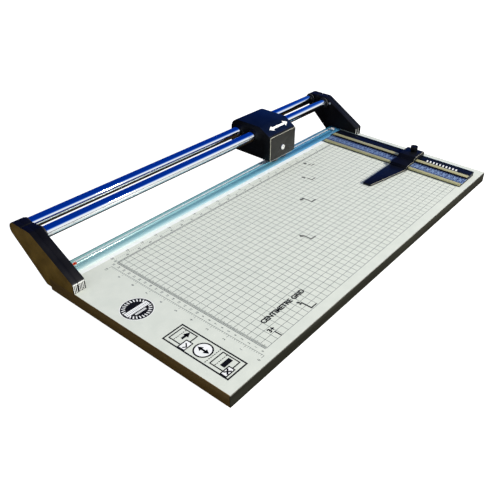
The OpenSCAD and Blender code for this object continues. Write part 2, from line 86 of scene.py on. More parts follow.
def mottled(name, dark, light, grain, bump, rough, stretch=(1, 1, 1), **shader):
    # grain and bump height in mm; stretch drags the grain out along an axis; an underscore in a
    # shader setting stands for a space
    shader = {key.replace("_", " "): value for key, value in shader.items()}
    finish, tree, surface, coords = newFinish(name, **shader)
    turned = add(tree, "Mapping", {"Scale": stretch}, {"Vector": (coords, "Object")})
    noise = add(tree, "TexNoise",
                {"Scale": 1 / (grain * mm), "Detail": mottle["detail"],
                 "Roughness": mottle["roughness"]},
                {"Vector": (turned, "Vector")})
    cloud = add(tree, "TexNoise",
                {"Scale": 1 / (grain * mottle["cloud"] * mm), "Detail": mottle["cloudDetail"]},
                {"Vector": (turned, "Vector")})
    both = add(tree, "Math", {"operation": "MULTIPLY_ADD", 1: mottle["fine"]},
               {0: (noise, "Fac"), 2: (cloud, "Fac")})
    stops = [(mottle["darkest"], linear(dark)), (1, linear(light))]
    colour = add(tree, "ValToRGB", {"stops": stops}, {"Fac": (both, "Value")})
    gloss = add(tree, "MapRange",
                {"From Min": mottle["glossFrom"], "From Max": mottle["glossTo"],
                 "To Min": rough[0], "To Max": rough[1]},
                {"Value": (cloud, "Fac")})
    relief = add(tree, "Bump", {"Strength": 1, "Distance": bump * mm}, {"Height": (noise, "Fac")})
    tree.links.new(colour.outputs["Color"], surface.inputs["Base Color"])
    tree.links.new(gloss.outputs["Result"], surface.inputs["Roughness"])
    tree.links.new(relief.outputs["Normal"], surface.inputs["Normal"])
    return finish


# pressed wood fibre, sawn: warm brown, dull, with coarse fibres along the board
fibreboard = mottled("fibreboard", "#6d4f31", "#a27c50", 1.2, 0.08, (0.75, 0.9), (0.3, 1, 1))
# melamine laminate, pressed against a fine satin plate: grey-green white, faint cloud, soft sheen
melamineLaminate = mottled("melamineLaminate", "#d9ded3", "#e1e5da", 0.6, 0.006, (0.5, 0.56),
                           Specular_IOR_Level=0.25)
# phenolic backing sheet: plain dull grey-brown
phenolicBacking = mottled("phenolicBacking", "#77736a", "#8d897f", 1.0, 0.01, (0.6, 0.75))
# ABS edge banding, olive black, machined flush: satin with fine streaks along its length
oliveBanding = mottled("oliveBanding", "#191a14", "#26271e", 0.5, 0.02, (0.4, 0.55), (0.08, 1, 1))
# ABS edge banding, dark brown, on the two ends; its warm tone is partly painted bounced light
brownBandingAndPaintedLight = mottled("brownBandingAndPaintedLight", "#523b10", "#6c521c", 0.5, 0.02, (0.42, 0.58), (1, 0.08, 1))
# aluminium, extruded and left bare: pale grey with draw lines along the profile
millAluminium = mottled("millAluminium", "#9fb6b4", "#c0d2cf", 0.5, 0.01, (0.3, 0.42), (1, 0.03, 1),
                        Metallic=0.5)
# tool steel, surface ground: bright with grinding lines
groundSteel = mottled("groundSteel", "#b4b8bc", "#d6d9dc", 0.3, 0.006, (0.2, 0.3), (0.05, 1, 1),
                      Metallic=1.0)
# steel, bright zinc plated: cool grey, faintly cloudy
zincSteel = mottled("zincSteel", "#9fa3a8", "#c2c6ca", 0.8, 0.01, (0.28, 0.42), Metallic=1.0)
# stainless steel, turned and bead polished: nearly white, wide highlights
polishedSteel = mottled("polishedSteel", "#dcdedd", "#f6f7f5", 0.4, 0.004, (0.22, 0.32),
                        Metallic=0.55)
# spring wire, drawn: darker grey
springWire = mottled("springWire", "#7f8388", "#a0a4a8", 0.4, 0.004, (0.3, 0.4), Metallic=1.0)
# stoved enamel on cast aluminium: black, slight orange peel 1 mm across
blackEnamel = mottled("blackEnamel", "#070709", "#101013", 1.0, 0.01, (0.36, 0.5),
                      Specular_IOR_Level=0.12)
# the same black enamel, a little duller, coloured brown as painted warm light bounced onto the
# covers' outer sides
paintedWarmLightEnamel = mottled("paintedWarmLightEnamel", "#5c4510", "#7f621e", 0.8, 0.02, (0.5, 0.62),
                      Specular_IOR_Level=0.3)
# hard chrome on a ground tube: a mirror, with very faint polishing marks round it
chromePlate = mottled("chromePlate", "#e6ebf2", "#edf1f6", 0.5, 0.0002, (0.03, 0.05), (0.05, 1, 1),
                      Metallic=1.0)
# nitrile rubber, moulded: black, dull
nitrileRubber = mottled("nitrileRubber", "#141414", "#232323", 0.8, 0.03, (0.6, 0.75))
# acetal, moulded in orange: smooth, half gloss, on the socket of the left pin
orangeAcetal = mottled("orangeAcetal", "#b5330d", "#e0521c", 0.5, 0.01, (0.3, 0.4))
# aluminium, blue anodised over a fine satin etch: pale violet blue
blueAnodised = mottled("blueAnodised", "#627ca6", "#8198ba", 0.5, 0.006, (0.45, 0.6), (1, 0.1, 1),
                       Specular_IOR_Level=0.3)
# aluminium, black anodised: navy black with a soft sheen; also painted shade on the guide base and
# strip ends
blackAnodisedAndPaintedShade = mottled("blackAnodisedAndPaintedShade", "#080b14", "#10141f", 0.5, 0.008, (0.32, 0.45),
                        (1, 0.2, 1), Specular_IOR_Level=0.16)
# brass, drawn and brushed lengthwise, dulled with age: straw colour leaning to olive
brushedBrass = mottled("brushedBrass", "#b6b078", "#cfca9a", 0.4, 0.01, (0.35, 0.45), (1, 0.03, 1),
                       Metallic=0.3)
# bronze, sintered: dull brown yellow, fine pores
sinteredBronze = mottled("sinteredBronze", "#8d6d3c", "#b08c52", 0.4, 0.02, (0.45, 0.6),
                         Metallic=1.0)
# ABS, moulded on a fine spark-eroded tool: black, satin
blackMoulding = mottled("blackMoulding", "#08090b", "#121316", 0.7, 0.012, (0.34, 0.46),
                        Specular_IOR_Level=0.14)
# the same plastic, polished a little more, in navy black as a painted reflection of blue sky
paintedSkySheenMoulding = mottled("paintedSkySheenMoulding", "#040a1a", "#08142c", 0.7, 0.01, (0.3, 0.42),
                       Specular_IOR_Level=0.2)
# steel plate, black oxide under satin paint: charcoal
charcoalPlate = mottled("charcoalPlate", "#141413", "#1f1f1d", 0.8, 0.012, (0.42, 0.55),
                        Specular_IOR_Level=0.3)
# pale grey on edges turned towards the key light: a painted edge highlight
paintedEdgeHighlight = mottled("paintedEdgeHighlight", "#7c7a6c", "#b4b2a2", 0.6, 0.02, (0.45, 0.55))
# screen ink, grey, one thin coat: dull, with the white showing through a little
greyInk = mottled("greyInk", "#434a4b", "#5d6567", 0.5, 0.002, (0.6, 0.7), Specular_IOR_Level=0.2)
# screen ink, black, full coat: dull and even
blackInk = mottled("blackInk", "#08080a", "#121214", 0.5, 0.002, (0.6, 0.7),
                   Specular_IOR_Level=0.15)
# screen ink, white, full coat: even, a little smoother
whiteInk = mottled("whiteInk", "#f2f5f0", "#ffffff", 0.5, 0.002, (0.5, 0.6))
# screen ink, dark blue, on the scale: dull and even
blueInk = mottled("blueInk", "#141c48", "#24306a", 0.5, 0.002, (0.5, 0.6), Specular_IOR_Level=0.2)


# where the tint starts and ends across and along the strip in mm, its colours from edge to edge and
# from the left end to the right, where the deepening to blue is a painted sky reflection, and the
# fine waves left by the extruder
stripTint = {
    "across": (98.0, 122.5), "along": (-260.0, 200.0), "wave": 1000 / 180, "waveDetail": 3,
    "waveStrength": 0.4, "waveHeight": 0.01,
    "ribs": [(0.0, "#e4f4f3"), (0.08, "#bfe0e0"), (0.2, "#a3cfd3"), (0.34, "#9dcdd0"),
             (0.5, "#a6d3d4"), (0.62, "#b9e0dc"), (0.8, "#a9d3d3"), (0.9, "#79acaa"),
             (1.0, "#3f7f80")],
    "depth": [(0.0, "#ffffff"), (0.6, "#b4d4e4"), (1.0, "#72a8d4")]}


def clearStrip():
    # polycarbonate, extruded with a blue-green tint: wet gloss; bluest at its far end as a painted
    # sky reflection
    finish, tree, surface, coords = newFinish(
        "tintedPolycarbonate", Roughness=0.14, IOR=1.58, Alpha=0.8)
    place = add(tree, "SeparateXYZ", links={0: (coords, "Object")})
    tints = []
    # across the strip, then along it; the ramp along it paints a sky reflection
    for axis, reach, stops in (("Y", "across", "ribs"), ("X", "along", "depth")):
        low, high = stripTint[reach]
        share = add(tree, "MapRange", {"From Min": low * mm, "From Max": high * mm},
                    {"Value": (place, axis)})
        ramp = [(at, linear(colour)) for at, colour in stripTint[stops]]
        tints.append(add(tree, "ValToRGB", {"stops": ramp}, {"Fac": (share, "Result")}))
    tint = add(tree, "Mix", {"data_type": "RGBA", "blend_type": "MULTIPLY", 0: 1.0},
               {6: (tints[0], "Color"), 7: (tints[1], "Color")})
    tree.links.new(tint.outputs[2], surface.inputs["Base Color"])
    noise = add(tree, "TexNoise",
                {"Scale": 1 / (stripTint["wave"] * mm), "Detail": stripTint["waveDetail"]},
                {"Vector": (coords, "Object")})
    relief = add(tree, "Bump",
                 {"Strength": stripTint["waveStrength"], "Distance": stripTint["waveHeight"] * mm},
                 {"Height": (noise, "Fac")})
    tree.links.new(relief.outputs["Normal"], surface.inputs["Normal"])
    return finish


tintedPolycarbonate = clearStrip()
print("finishes made")


# modelling helpers

def pick(*pieces):
    # selects only these, the first one active
    bpy.ops.object.select_all(action="DESELECT")
    for piece in pieces:
        piece.select_set(True)
    bpy.context.view_layer.objects.active = pieces[0]


def applied():
    # puts the active object's place, turn and size into its mesh
    bpy.ops.object.transform_apply(location=True, rotation=True, scale=True)
    return bpy.context.object


def block(low, high, turn=0):
    # a closed bar between two corners in mm, turned in plan about its middle
    bpy.ops.object.select_all(action="DESELECT")
    middle = [(a + b) / 2 * mm for a, b in zip(low, high)]
    bpy.ops.mesh.primitive_cube_add(size=1, location=middle, rotation=(0, 0, radians(turn)),
                                    scale=[(b - a) * mm for a, b in zip(low, high)])
    return applied()


def disc(x, y, z, radius, height, sides, turn=0):
    # a closed flat disc, or a triangle with three sides, standing on z; sizes in mm
    bpy.ops.object.select_all(action="DESELECT")
    bpy.ops.mesh.primitive_cylinder_add(vertices=sides, radius=radius * mm, depth=height * mm,
                                        location=(x * mm, y * mm, (z + height / 2) * mm),
                                        rotation=(0, 0, radians(turn)))
    return applied()


def rowOf(piece, step, count):
    # repeats a piece along a step given in mm
    pick(piece)
    row = piece.modifiers.new("row", "ARRAY")
    row.use_relative_offset = False
    row.use_constant_offset = True
    row.constant_offset_displace = [s * mm for s in step]
    row.count = count
    bpy.ops.object.modifier_apply(modifier="row")
    return piece


def joined(name, parts, finish, body):
    # makes one named piece of several meshes, in one finish, riding on a body
    pick(*parts)
    if len(parts) > 1:
        bpy.ops.object.join()
    piece = bpy.context.object
    piece.name = name
    piece.data.materials.clear()
    piece.data.materials.append(finish)
    for face in piece.data.polygons:
        face.material_index = 0
    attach(piece, body)
    return piece


def stroke(x, y, z, length, width, high, turn):
    # a flat bar centred on a place, turned in plan
    return block((x - length / 2, y - width / 2, z),
                 (x + length / 2, y + width / 2, z + high), turn)


def written(words, size, x, y, z, height, weight):
    # flat text centred on a place, made a closed mesh; sizes in mm
    bpy.ops.object.select_all(action="DESELECT")
    bpy.ops.object.text_add(location=(x * mm, y * mm, (z + height / 2) * mm))
    text = bpy.context.object
    text.data.body = words
    text.data.size = size * mm
    text.data.align_x, text.data.align_y = "CENTER", "CENTER"
    text.data.extrude = height / 2 * mm
    text.data.offset = weight * mm
    text.data.resolution_u = 3
    bpy.ops.object.convert(target="MESH")
    bpy.ops.object.mode_set(mode="EDIT")
    bpy.ops.mesh.select_all(action="SELECT")
    bpy.ops.mesh.remove_doubles(threshold=1e-7)
    bpy.ops.object.mode_set(mode="OBJECT")
    return applied()


# gap closed between loose triangles in mm, then angles in degrees: what counts as flat, what is an
# edge to round, and what is shaded smooth
rounding = {"gap": 0.002, "flat": 0.5, "edge": 30, "smooth": 32, "segments": 2}


def softened(name, node, bevel, finish, body, slot):
    # a copy of a CAD part with its flats merged and its edges rounded, bevel in mm
    piece = bpy.data.objects.new(name, nodes[node].data.copy())
    bpy.context.scene.collection.objects.link(piece)
    pick(piece)
    bpy.ops.mesh.customdata_custom_splitnormals_clear()
    bpy.ops.object.mode_set(mode="EDIT")
    bpy.ops.mesh.select_all(action="SELECT")
    bpy.ops.mesh.remove_doubles(threshold=rounding["gap"] * mm)
    bpy.ops.mesh.dissolve_limited(angle_limit=radians(rounding["flat"]))
    bpy.ops.object.mode_set(mode="OBJECT")
    edge = piece.modifiers.new("edge", "BEVEL")
    edge.width = bevel * mm
    edge.segments = rounding["segments"]
    edge.limit_method = "ANGLE"
    edge.angle_limit = radians(rounding["edge"])
    edge.use_clamp_overlap = True
    bpy.ops.object.modifier_apply(modifier="edge")
    bpy.ops.object.shade_smooth_by_angle(angle=radians(rounding["smooth"]))
    piece.data.materials.clear()
    piece.data.materials.append(finish)
    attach(piece, body)
    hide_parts(node)
    return piece


def repaint(piece, finish, test):
    # gives another finish to the faces whose middle and normal pass the test
    piece.data.materials.append(finish)
    index = len(piece.data.materials) - 1
    for face in piece.data.polygons:
        if test(face.center, face.normal):
            face.material_index = index


# CAD parts that keep their shape: only their finish changes

plainParts = {
    "board_core": fibreboard, "top_laminate": melamineLaminate, "bottom_laminate": phenolicBacking,
    "blade_carrier": millAluminium, "fixed_blade": groundSteel, "blade_screws": zincSteel,
    "cover_dowels": zincSteel, "frame_screws": zincSteel, "cover_screws": polishedSteel,
    "strip_washers": zincSteel, "left_strip_spring": springWire, "right_strip_spring": springWire,
    "guide_screws": zincSteel, "foot_screws": zincSteel, "axle_nut": zincSteel,
    "wheel_spacer": zincSteel, "preload_spring": springWire, "left_front_bush": blackMoulding,
    "left_rear_bush": blackMoulding, "right_front_bush": blackMoulding,
    "right_rear_bush": blackMoulding, "roller_bracket": zincSteel, "roller_axles": polishedSteel,
    "cutting_wheel": groundSteel, "wheel_hub": brushedBrass, "wheel_bush": sinteredBronze,
    "left_roller": nitrileRubber, "right_roller": nitrileRubber, "clamp_insert": brushedBrass}
for name, finish in plainParts.items():
    nodes[name].data.materials.clear()
    nodes[name].data.materials.append(finish)
print("plain parts finished")

# parts with rounded edges

# piece: CAD part, edge radius in mm, finish, body, slot
roundedParts = {
    "frontEdgeBand": ("front_edge_band", 0.4, oliveBanding, "base", "olive_edging"),
    "leftEdgeBand": ("left_edge_band", 0.4, brownBandingAndPaintedLight, "base", "brown_edging"),
    "rightEdgeBand": ("right_edge_band", 0.4, brownBandingAndPaintedLight, "base", "brown_edging"),
    "leftCasting": ("left_frame", 0.5, blackEnamel, "base", "black_enamel"),
    "rightCasting": ("right_frame", 0.5, blackEnamel, "base", "black_enamel"),
    "leftCover": ("left_cover", 0.7, blackEnamel, "base", "brown_enamel"),
    "rightCover": ("right_cover", 0.7, blackEnamel, "base", "brown_enamel"),
    "frontRail": ("front_rail", 0.5, chromePlate, "base", "chrome_plate"),
    "rearRail": ("rear_rail", 0.5, chromePlate, "base", "chrome_plate"),
    "leftFrontBuffer": ("left_front_buffer", 0.9, nitrileRubber, "base", "black_rubber"),
    "leftRearBuffer": ("left_rear_buffer", 0.9, nitrileRubber, "base", "black_rubber"),
    "rightFrontBuffer": ("right_front_buffer", 0.9, nitrileRubber, "base", "black_rubber"),
    "rightRearBuffer": ("right_rear_buffer", 0.9, nitrileRubber, "base", "black_rubber"),
    "leftStripPin": ("left_strip_pin", 0.3, orangeAcetal, "base", "orange_plastic"),
    "rightStripPin": ("right_strip_pin", 0.3, polishedSteel, "base", "bright_steel"),
    "guideBase": ("guide_base", 0.2, millAluminium, "base", "mill_aluminium"),
    "guideScale": ("guide_scale", 0.1, blueAnodised, "base", "blue_anodised"),
    "guideFrontStrip": ("guide_front_strip", 0.3, brushedBrass, "base", "brass_strip"),
    "guideRearStrip": ("guide_rear_strip", 0.3, brushedBrass, "base", "brass_strip"),
    "guideChannel": ("guide_channel", 0.1, blackAnodisedAndPaintedShade, "base", "black_anodised"),
    "leftFrontFoot": ("left_front_foot", 0.6, nitrileRubber, "base", "black_rubber"),
    "rightFrontFoot": ("right_front_foot", 0.6, nitrileRubber, "base", "black_rubber"),
    "leftRearFoot": ("left_rear_foot", 0.6, nitrileRubber, "base", "black_rubber"),
    "rightRearFoot": ("right_rear_foot", 0.6, nitrileRubber, "base", "black_rubber"),
    "clampStrip": ("clamp_strip", 0.2, tintedPolycarbonate, "strip", "clear_plastic"),
    "headShell": ("head_body", 0.9, blackMoulding, "head", "black_moulding"),
    "headPlate": ("front_plate", 0.9, charcoalPlate, "head", "grey_black_plate"),
    "headBolt": ("axle_bolt", 0.4, polishedSteel, "head", "bright_steel"),
    "stopBlock": ("stop_block", 0.6, blackMoulding, "stop", "black_moulding"),
    "stopArm": ("stop_arm", 0.35, blackAnodisedAndPaintedShade, "stop", "black_anodised"),
    "thumbKnob": ("thumb_screw", 0.15, blackMoulding, "thumb_screw", "black_moulding")}
pieces = {name: softened(name, *settings) for name, settings in roundedParts.items()}
print("rounded parts made")

# second finishes on some faces

# how far a face's normal leans to an axis, from barely to wholly
lean = {"barely": 0.05, "partly": 0.3, "sloped": 0.35, "half": 0.5, "mostly": 0.7, "square": 0.9,
        "wholly": 0.98}
# in mm: lowest slope of the head, centre and radius of the left pin's socket, depth of the right
# nose's corners, left and upper edge of the head's plate with its painted highlight rims, and top
# of the banding
marked = {"slope": 75, "pinX": -297, "pinY": 109, "socket": 2.0, "nose": 66.8, "plateLeft": 92.5,
          "plateTop": 77.3, "highlightSide": 1.1, "highlightTop": 1.0, "banding": 20}


# the right nose's front corner faces, which take a painted edge highlight
def onNoseCorner(middle, normal):
    return (middle.y < marked["nose"] * mm and normal.y < -lean["partly"]
            and abs(normal.x) > lean["partly"])


# bevel faces round the plate's left and upper edge, turned towards the key light, take a painted
# edge highlight
def onPlateRim(middle, normal):
    rim = (middle.x < (marked["plateLeft"] + marked["highlightSide"]) * mm
           or middle.z > (marked["plateTop"] - marked["highlightTop"]) * mm)
    return rim and -lean["wholly"] < normal.y < -lean["barely"]


def offSocket(middle, normal):
    aside, away = middle.x - marked["pinX"] * mm, middle.y - marked["pinY"] * mm
    return aside ** 2 + away ** 2 > (marked["socket"] * mm) ** 2


# the brown on the covers' outer sides is painted warm bounced light on black enamel
repaint(pieces["leftCover"], paintedWarmLightEnamel, lambda middle, normal: normal.x < -lean["square"])
repaint(pieces["rightCover"], paintedWarmLightEnamel, lambda middle, normal: normal.x > lean["square"])
# the head's sloped and upper faces are smoother, and their navy is a painted reflection of the blue
# sky
repaint(pieces["headShell"], paintedSkySheenMoulding, lambda middle, normal: (
    normal.z > lean["sloped"] and middle.z > marked["slope"] * mm))
# the left pin is clear round its orange socket
repaint(pieces["leftStripPin"], tintedPolycarbonate, offSocket)
# painted edge highlights on the stop's user side, on the right nose and round the head's plate
for name in ("stopBlock", "stopArm"):
    repaint(pieces[name], paintedEdgeHighlight, lambda middle, normal: (
        normal.y < -lean["partly"] and normal.z > lean["partly"]))
for name in ("rightCasting", "rightCover"):
    repaint(pieces[name], paintedEdgeHighlight, onNoseCorner)
repaint(pieces["headPlate"], paintedEdgeHighlight, onPlateRim)
# painted shade: the rear strip's side towards the scale in brown, a dark shadow line on the base
# under the front strip and on its near end, and dark near ends on both strips
repaint(pieces["guideRearStrip"], brownBandingAndPaintedLight, lambda middle, normal: normal.x < -lean["mostly"])
repaint(pieces["guideBase"], blackAnodisedAndPaintedShade, lambda middle, normal: (
    normal.x < -lean["mostly"] or normal.y < -lean["square"]))
for name in ("guideFrontStrip", "guideRearStrip"):
    repaint(pieces[name], blackAnodisedAndPaintedShade, lambda middle, normal: normal.y < -lean["square"])
# upward faces along the top of the front banding take the lighter grey of the backing sheet
repaint(pieces["frontEdgeBand"], phenolicBacking, lambda middle, normal: (
    normal.z > lean["half"] and middle.z > marked["banding"] * mm))
# the rails mirror the sky right up to the head
for name in ("headShell", "headPlate"):
    pieces[name].visible_glossy = False
print("second finishes made")


# printed board

# mm from here on: the board's top, the thickness of one coat of ink, and the grid's place
bedTop = 22.0
inkCoat = 0.04
gridPrint = {"left": -252.8, "front": -171.0, "columns": 50, "rows": 25, "square": 10,
             "line": 0.5, "crossCoats": 0.9}
gridRight = gridPrint["left"] + gridPrint["square"] * gridPrint["columns"]
gridBack = gridPrint["front"] + gridPrint["square"] * gridPrint["rows"]


def inkBar(x0, x1, y0, y1, coats=1.0):
    return block((x0, y0, bedTop), (x1, y1, bedTop + inkCoat * coats))


def boardGrid():
    left, front, half = gridPrint["left"], gridPrint["front"], gridPrint["line"] / 2
    square = gridPrint["square"]
    upright = rowOf(inkBar(left - half, left + half, front, gridBack), (square, 0, 0),
                    gridPrint["columns"] + 1)
    # a little thinner, so that the crossings don't lie in one plane
    level = rowOf(inkBar(left, gridRight, front - half, front + half, gridPrint["crossCoats"]),
                  (0, square, 0), gridPrint["rows"] + 1)
    joined("printedGrid", [upright, level], greyInk, "base")


boardGrid()

# a centimetre ruler on the grid's left and rear edges, and an inch ruler outside each
rulers = {
    "tick": 0.4, "weight": 0.06, "cmSize": 4.2, "inchSize": 5.0, "inch": 25.4, "inchParts": 8,
    # left edge: line beside the grid, ticks of 1 mm and 5 mm, place of the numbers
    "sideLine": (1.9, 1.1), "sideShort": 2.4, "sideLong": 4, "sideNumbers": 6.2,
    # rear edge: row of dots behind the grid, ticks of 1 mm and 5 mm, place of the numbers
    "rearDots": (0.5, 0.8, 1.3), "rearShort": 2.2, "rearLong": 4, "rearNumbers": 3.9,
    # left inch ruler: its line and zero, its inches, ticks of an eighth and of an inch, its numbers
    "inchX": -263.6, "inchZero": -176.3, "inches": 10, "inchLine": 0.4, "inchShort": 2.2,
    "inchLong": 4.5, "inchNumbers": -272.1,
    # inch ruler along the cut, counted from the right
    "cutZero": 230.9, "cutRow": 85.4, "cutInches": 20, "cutShort": 1.6, "cutLong": 3.0,
    "cutNumbers": 5.4}


def rulerLines():
    left, front = gridPrint["left"], gridPrint["front"]
    columns, rows, square = gridPrint["columns"], gridPrint["rows"], gridPrint["square"]
    half, inch, inchParts = rulers["tick"] / 2, rulers["inch"], rulers["inchParts"]
    eighth = inch / inchParts
    far, near = rulers["sideLine"]
    wide, dotLow, dotHigh = rulers["rearDots"]
    inchX, inchZero, inches = rulers["inchX"], rulers["inchZero"], rulers["inches"]
    cutZero, cutRow, cutInches = rulers["cutZero"], rulers["cutRow"], rulers["cutInches"]
    # corners of the first mark, then the step and the count of the row
    marks = [
        (left - far, left - near, front, gridBack, 0, 0, 1),
        (left, left + rulers["sideShort"], front - half, front + half, 0, 1, rows * square + 1),
        (left, left + rulers["sideLong"], front + square / 2 - half, front + square / 2 + half,
         0, square, rows),
        (left, left + wide, gridBack + dotLow, gridBack + dotHigh, 1, 0, columns * square),
        (left - half, left + half, gridBack - rulers["rearShort"], gridBack, 1, 0,
         columns * square + 1),
        (left + square / 2 - half, left + square / 2 + half, gridBack - rulers["rearLong"],
         gridBack, square, 0, columns),
        (inchX, inchX + rulers["inchLine"], inchZero, inchZero + inches * inch, 0, 0, 1),
        (inchX - rulers["inchShort"], inchX, inchZero - half, inchZero + half, 0, eighth,
         inches * inchParts + 1),
        (inchX - rulers["inchLong"], inchX, inchZero - half, inchZero + half, 0, inch, inches + 1),
        (cutZero - half, cutZero + half, cutRow, cutRow + rulers["cutShort"], -eighth, 0,
         (cutInches - 1) * inchParts + 1),
        (cutZero - half, cutZero + half, cutRow, cutRow + rulers["cutLong"], -inch, 0, cutInches)]
    parts = [rowOf(inkBar(*corners), (stepX, stepY, 0), count)
             for *corners, stepX, stepY, count in marks]
    joined("printedRulers", parts, greyInk, "base")


def rulerNumbers():
    left, front, square = gridPrint["left"], gridPrint["front"], gridPrint["square"]
    columns, inch = gridPrint["columns"], rulers["inch"]
    small, large = rulers["cmSize"], rulers["inchSize"]
    # number, size and place
    places = [(row, small, left - rulers["sideNumbers"], front + square * row)
              for row in range(gridPrint["rows"] + 1)]
    places += [(columns - column, small, left + square * column, gridBack + rulers["rearNumbers"])
               for column in range(0, columns + 1, 2)]
    places += [(count, large, rulers["inchNumbers"], rulers["inchZero"] + inch * count)
               for count in range(rulers["inches"] + 1)]
    places += [(count + 1, large, rulers["cutZero"] - inch * count,
                rulers["cutRow"] + rulers["cutNumbers"]) for count in range(rulers["cutInches"])]
    parts = [written(str(number), size, x, y, bedTop, inkCoat, rulers["weight"])
             for number, size, x, y in places]
    joined("printedNumbers", parts, greyInk, "base")


rulerLines()
rulerNumbers()

# corner marks of the paper formats: corner x, y, long and short arm, format number and its place;
# and a plain unit title along the grid's front edge
formatMarks = {
    "line": 1.7, "size": 8.8, "weight": 0.45, "coats": 1.25,
    "title": "CENTIMETRE GRID", "titleSize": 9.6, "titleAt": (-183.0, -140.8),
    "places": [
        (151.7, 54.2, 7.5, 8, "6", -1.5, 13.5), (107.7, 23.0, 10, 10, "5", -2.5, 14.5),
        (47.4, -19.6, 15.5, 10.5, "4+", -3.5, 15.5), (-40.1, -80.8, 15.5, 10.5, "4", -3.5, 15),
        (-163.9, -168.6, 15.5, 10.5, "3", -2.5, 16), (-225.4, -170.0, 9.5, 0, "3+", -0.2, 13.8)]}


def boardFormats():
    parts = []
    half, coats = formatMarks["line"] / 2, formatMarks["coats"]
    size, weight, high = formatMarks["size"], formatMarks["weight"], inkCoat * coats
    for x, y, arm, foot, number, aside, above in formatMarks["places"]:
        parts.append(inkBar(x - half, x + half, y - half, y + arm, coats))
        if foot:
            parts.append(inkBar(x + half, x + foot, y - half, y + half, coats))
        parts.append(written(number, size, x + aside, y + above, bedTop, high, weight))
    parts.append(written(formatMarks["title"], formatMarks["titleSize"], *formatMarks["titleAt"],
                         bedTop, high, weight))
    joined("printedFormats", parts, blackInk, "base")


boardFormats()

# a round badge with a ring of short marks and rows of bars across it
badge = {
    "x": -299.3, "y": -12.0, "radius": 19.6, "rim": 0.9, "rimCoats": 0.6, "sides": 72,
    # the ring: how many, how far out, length, width, slant, and how near the bars it stops
    "marks": 26, "ring": 15.9, "markLength": 4.4, "markWidth": 1.5, "slant": 12, "clear": 0.2,
    "coats": 1.5,
    # the bars: corners from the centre, step and count, coats of ink
    "bars": [(-17, -15.2, -3.8, 3.6, 2.3, 15, 1.5), (-17, 17, 2.0, 3.6, 0, 1, 1.45),
             (-17, 17, -3.8, -2.4, 0, 1, 1.45), (-8, -6.8, -8.4, -5.4, 1.8, 9, 1.5)]}


def boardBadge():
    x, y, radius, sides = badge["x"], badge["y"], badge["radius"], badge["sides"]
    rim = disc(x, y, bedTop, radius + badge["rim"], inkCoat * badge["rimCoats"], sides)
    joined("badgeRim", [rim], whiteInk, "base")
    joined("badgeDisc", [disc(x, y, bedTop, radius, inkCoat, sides)], blackInk, "base")
    parts = [rowOf(inkBar(x + x0, x + x1, y + y0, y + y1, coats), (step, 0, 0), count)
             for x0, x1, y0, y1, step, count, coats in badge["bars"]]
    for k in range(badge["marks"]):
        angle = 2 * pi * (k + 0.5) / badge["marks"]
        if abs(sin(angle)) > badge["clear"]:
            markX, markY = x + badge["ring"] * cos(angle), y + badge["ring"] * sin(angle)
            parts.append(stroke(markX, markY, bedTop, badge["markLength"], badge["markWidth"],
                                inkCoat * badge["coats"], degrees(angle) + badge["slant"]))
    joined("badgeMarks", parts, whiteInk, "base")


boardBadge()


def arrow(x, y, z, length, width, head, high, turn, bothEnds):
    # a plain arrow centred on a place, pointing along turn; its heads are triangles, whose radius
    # is two thirds of their height
    reach, radius = length / 2 - head / 2, head * 0.66
    dx, dy = cos(radians(turn)) * reach, sin(radians(turn)) * reach
    parts = [stroke(x, y, z, reach * 2, width, high, turn),
             disc(x + dx, y + dy, z, radius, high, 3, turn + 30)]
    if bothEnds:
        parts.append(disc(x - dx, y - dy, z, radius, high, 3, turn - 150))
    return parts


# a bordered panel of three plain pictures: a sheet with an arrow, the cutting direction in a ring,
# and a sheet with its offcut; corners are x0, x1, y0, y1
panel = {
    "border": (-315.7, -283.4, -170.6, -71.7), "borderLine": 2.0, "line": 1.5,
    "sheets": [(-309.9, -287.2, -100.6, -76.0), (-309.9, -287.2, -163.4, -138.0)],
    "paper": (-314, -299, -105, -94), "offcutPaper": (-314, -299, -166.6, -157),
    "paperCoats": 1.2, "paperLineCoats": 1.4,
    # dashed lines: corners of the first dash, step and count
    "dashes": [(-308, -306.2, -83.5, -82.4, 2.9, 7), (-312.0, -310.2, -134.6, -133.4, 3.0, 9),
               (-308, -306.2, -145.6, -144.5, 2.9, 7)],
    "offcut": (-304.5, -290.5, -155.5, -149.0),
    # a tick and a cross: x, y, length, width, turn, coats of ink
    "strokes": [(-305.9, -100.4, 7.4, 1.6, 48, 1.5), (-309.8, -100.8, 3.6, 1.6, -45, 1.6),
                (-306.5, -161.8, 9.0, 2.0, 42, 1.6), (-306.5, -161.8, 9.0, 2.0, -42, 1.65)],
    # arrows: x, y, length, width, head, coats of ink, turn, both ends
    "arrows": [(-297.5, -89.0, 16, 3.4, 7.5, 1, 0, False),
               (-299.55, -120.0, 15.5, 2.6, 6.5, 1.6, 90, True)],
    "ringAt": (-299.55, -120.0), "ring": 11.8, "hole": 9.9, "holeCoats": 1.3, "sides": 48}


def hollow(x0, x1, y0, y1, wide, coats):
    # a frame of four bars, two of them a little thinner where they cross
    thin = coats * 0.98
    return [inkBar(x0, x1, y0, y0 + wide, coats), inkBar(x0, x1, y1 - wide, y1, coats),
            inkBar(x0, x0 + wide, y0, y1, thin), inkBar(x1 - wide, x1, y0, y1, thin)]


